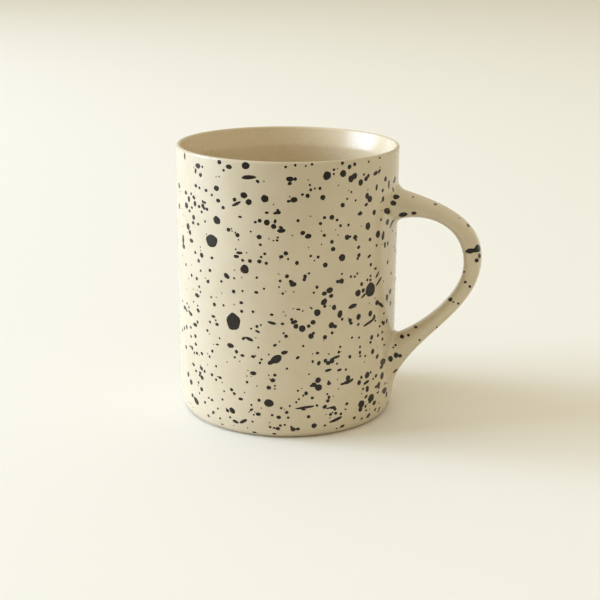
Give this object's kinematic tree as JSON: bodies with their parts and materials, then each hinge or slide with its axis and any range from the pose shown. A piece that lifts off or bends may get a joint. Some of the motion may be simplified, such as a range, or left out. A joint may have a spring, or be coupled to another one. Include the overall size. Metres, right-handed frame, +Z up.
{
  "type": "stoneware mug",
  "caption": "Straight-sided glazed stoneware mug with a rounded foot, a thin lip and a looped strap handle.",
  "frame": {"origin": "on the cup's axis, in the plane of the foot ring that stands on the table", "axes": "+Z up along the cup's axis, +X out through the middle of the handle, +Y to the handle's left seen from above with the handle pointing away"},
  "size_m": [0.1128, 0.0814, 0.1],
  "materials": {
    "bare_stoneware": "unglazed fired clay, matt, slightly gritty",
    "joining_slip": "unglazed fired slip, matt",
    "cream_glaze": "glossy warm cream glaze",
    "black_splatter": "glossy black glaze, flicked on in drops"
  },
  "bodies": {
    "root": {"cup_body": "bare_stoneware", "handle": "bare_stoneware", "upper_slip_joint": "joining_slip", "lower_slip_joint": "joining_slip", "outer_glaze": "cream_glaze", "liner_glaze": "cream_glaze", "handle_glaze": "cream_glaze", "base_glaze": "cream_glaze"}
  },
  "joints": []
}
